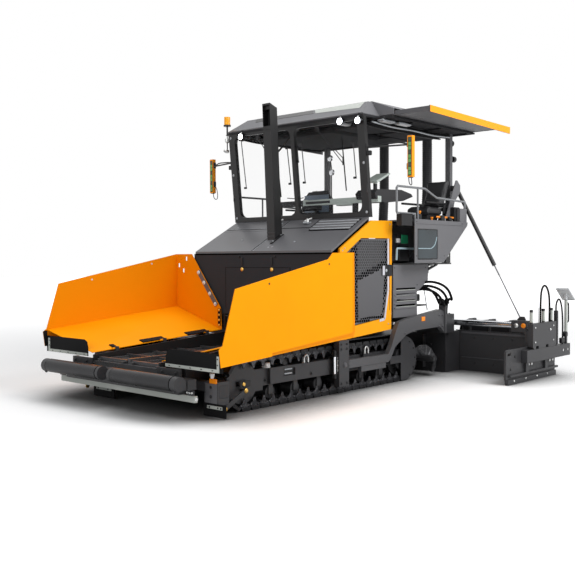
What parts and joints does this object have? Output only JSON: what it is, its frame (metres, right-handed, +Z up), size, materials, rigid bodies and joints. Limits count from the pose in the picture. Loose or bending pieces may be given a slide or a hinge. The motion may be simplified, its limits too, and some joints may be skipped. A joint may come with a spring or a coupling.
{
  "type": "tracked asphalt paver",
  "caption": "Tracked asphalt paver: folding hopper, driving platform under a canopy, cross augers and an extending floating screed.",
  "frame": {"origin": "on the ground under the middle of the outline", "axes": "+Y towards the screed at the rear (the hopper faces -Y), +X to the machine's left, +Z up"},
  "size_m": [5.3306, 6.3499, 3.79],
  "materials": {
    "orange_paint": "gloss",
    "dark_paint": "satin",
    "grey_paint": "satin",
    "steel": "worn",
    "chrome": "polished",
    "black_rubber": "matt",
    "glass": "clear",
    "seat_cover": "matt",
    "cast": "rough",
    "plastic": "matt",
    "track_steel": "worn"
  },
  "bodies": {
    "tractor": {"track_left": "track_steel", "track_right": "track_steel", "track_frames": "dark_paint", "track_wheels": "cast", "chassis_beams": "dark_paint", "body_plates": "dark_paint", "fenders": "dark_paint", "engine_block": "cast", "conveyor_floor": "steel", "hopper_skirts": "black_rubber", "conveyors": "steel", "push_beam": "dark_paint", "lower_bar": "steel", "mud_flaps": "black_rubber", "bulkhead": "dark_paint", "hood": "grey_paint", "exhaust_stack": "dark_paint", "side_frames": "orange_paint", "side_panels": "grey_paint", "platform": "dark_paint", "side_consoles": "grey_paint", "seats": "seat_cover", "control_console": "grey_paint", "windshield_frame": "dark_paint", "windshield_glass": "glass", "canopy_roof": "grey_paint", "rear_posts": "dark_paint", "handrails": "dark_paint", "tow_posts": "dark_paint", "auger_support": "dark_paint", "fume_ducts": "dark_paint", "signal_bars": "plastic", "lamps": "plastic"},
    "screed": {"tow_arms": "grey_paint", "screed_main": "grey_paint", "footboard": "steel"},
    "wing_left": {"wing_left": "orange_paint", "wing_flap_left": "black_rubber"},
    "push_roller_left": {"push_roller_left": "dark_paint"},
    "side_door_left": {"side_door_left": "dark_paint"},
    "auger_left": {"auger_left": "cast"},
    "awning_left": {"awning_left": "dark_paint"},
    "extension_left": {"extension_left": "grey_paint", "end_gate_left": "dark_paint"},
    "stay_tube_left": {"stay_tube_left": "dark_paint"},
    "stay_rod_left": {"stay_rod_left": "chrome"},
    "wing_right": {"wing_right": "orange_paint", "wing_flap_right": "black_rubber"},
    "push_roller_right": {"push_roller_right": "dark_paint"},
    "side_door_right": {"side_door_right": "dark_paint"},
    "auger_right": {"auger_right": "cast"},
    "awning_right": {"awning_right": "dark_paint"},
    "extension_right": {"extension_right": "grey_paint", "end_gate_right": "dark_paint"},
    "stay_tube_right": {"stay_tube_right": "dark_paint"},
    "stay_rod_right": {"stay_rod_right": "chrome"}
  },
  "joints": [
    {"name": "wing_fold_left", "type": "hinge", "parent": "tractor", "child": "wing_left", "pos_m": [0.645, -2.845, 0.572], "axis": [-0.0163, -0.9979, -0.0621], "range_deg": [0, 50]},
    {"name": "push_roller_turn_left", "type": "hinge", "parent": "tractor", "child": "push_roller_left", "pos_m": [0.645, -3.095, 0.4], "axis": [1, 0, 0], "continuous": true},
    {"name": "side_door_swing_left", "type": "hinge", "parent": "tractor", "child": "side_door_left", "pos_m": [1.256, -0.395, 1.3], "axis": [0, 0, -1], "range_deg": [0, 95]},
    {"name": "auger_turn_left", "type": "hinge", "parent": "tractor", "child": "auger_left", "pos_m": [0.6, 1.525, 0.245], "axis": [1, 0, 0], "continuous": true},
    {"name": "awning_slide_left", "type": "slide", "parent": "tractor", "child": "awning_left", "axis": [-1, 0, 0], "range_m": [0, 0.5]},
    {"name": "wing_fold_right", "type": "hinge", "parent": "tractor", "child": "wing_right", "pos_m": [-0.645, -2.845, 0.572], "axis": [-0.0163, 0.9979, 0.0621], "range_deg": [0, 50]},
    {"name": "push_roller_turn_right", "type": "hinge", "parent": "tractor", "child": "push_roller_right", "pos_m": [-0.645, -3.095, 0.4], "axis": [1, 0, 0], "continuous": true},
    {"name": "side_door_swing_right", "type": "hinge", "parent": "tractor", "child": "side_door_right", "pos_m": [-1.256, -0.395, 1.3], "axis": [0, 0, 1], "range_deg": [0, 95]},
    {"name": "auger_turn_right", "type": "hinge", "parent": "tractor", "child": "auger_right", "pos_m": [-0.6, 1.525, 0.245], "axis": [1, 0, 0], "continuous": true},
    {"name": "awning_slide_right", "type": "slide", "parent": "tractor", "child": "awning_right", "axis": [-1, 0, 0], "range_m": [0, 0.5]},
    {"name": "screed_lift", "type": "hinge", "parent": "tractor", "child": "screed", "pos_m": [0, -0.545, 0.36], "axis": [1, 0, 0], "range_deg": [0, 8]},
    {"name": "extension_slide_left", "type": "slide", "parent": "screed", "child": "extension_left", "axis": [-1, 0, 0], "range_m": [0, 1.08]},
    {"name": "stay_swing_left", "type": "hinge", "parent": "tractor", "child": "stay_tube_left", "pos_m": [1.262, 2.215, 2.69], "axis": [0, 1, 0], "range_deg": [0, 27.7]},
    {"name": "stay_extend_left", "type": "slide", "parent": "stay_tube_left", "child": "stay_rod_left", "axis": [-0.4802, 0, 0.8772], "range_m": [0, 0.338]},
    {"name": "extension_slide_right", "type": "slide", "parent": "screed", "child": "extension_right", "axis": [1, 0, 0], "range_m": [0, 1.08]},
    {"name": "stay_swing_right", "type": "hinge", "parent": "tractor", "child": "stay_tube_right", "pos_m": [-1.262, 2.215, 2.69], "axis": [0, -1, 0], "range_deg": [0, 27.7]},
    {"name": "stay_extend_right", "type": "slide", "parent": "stay_tube_right", "child": "stay_rod_right", "axis": [0.4802, 0, 0.8772], "range_m": [0, 0.338]}
  ],
  "couplings": [
    {"joint": "stay_swing_left", "follows": "extension_slide_left", "rad_per_m": 0.44753},
    {"joint": "stay_extend_left", "follows": "screed_lift", "m_per_rad": 2.4205},
    {"joint": "stay_swing_right", "follows": "extension_slide_right", "rad_per_m": 0.44753},
    {"joint": "stay_extend_right", "follows": "screed_lift", "m_per_rad": 2.4205}
  ]
}
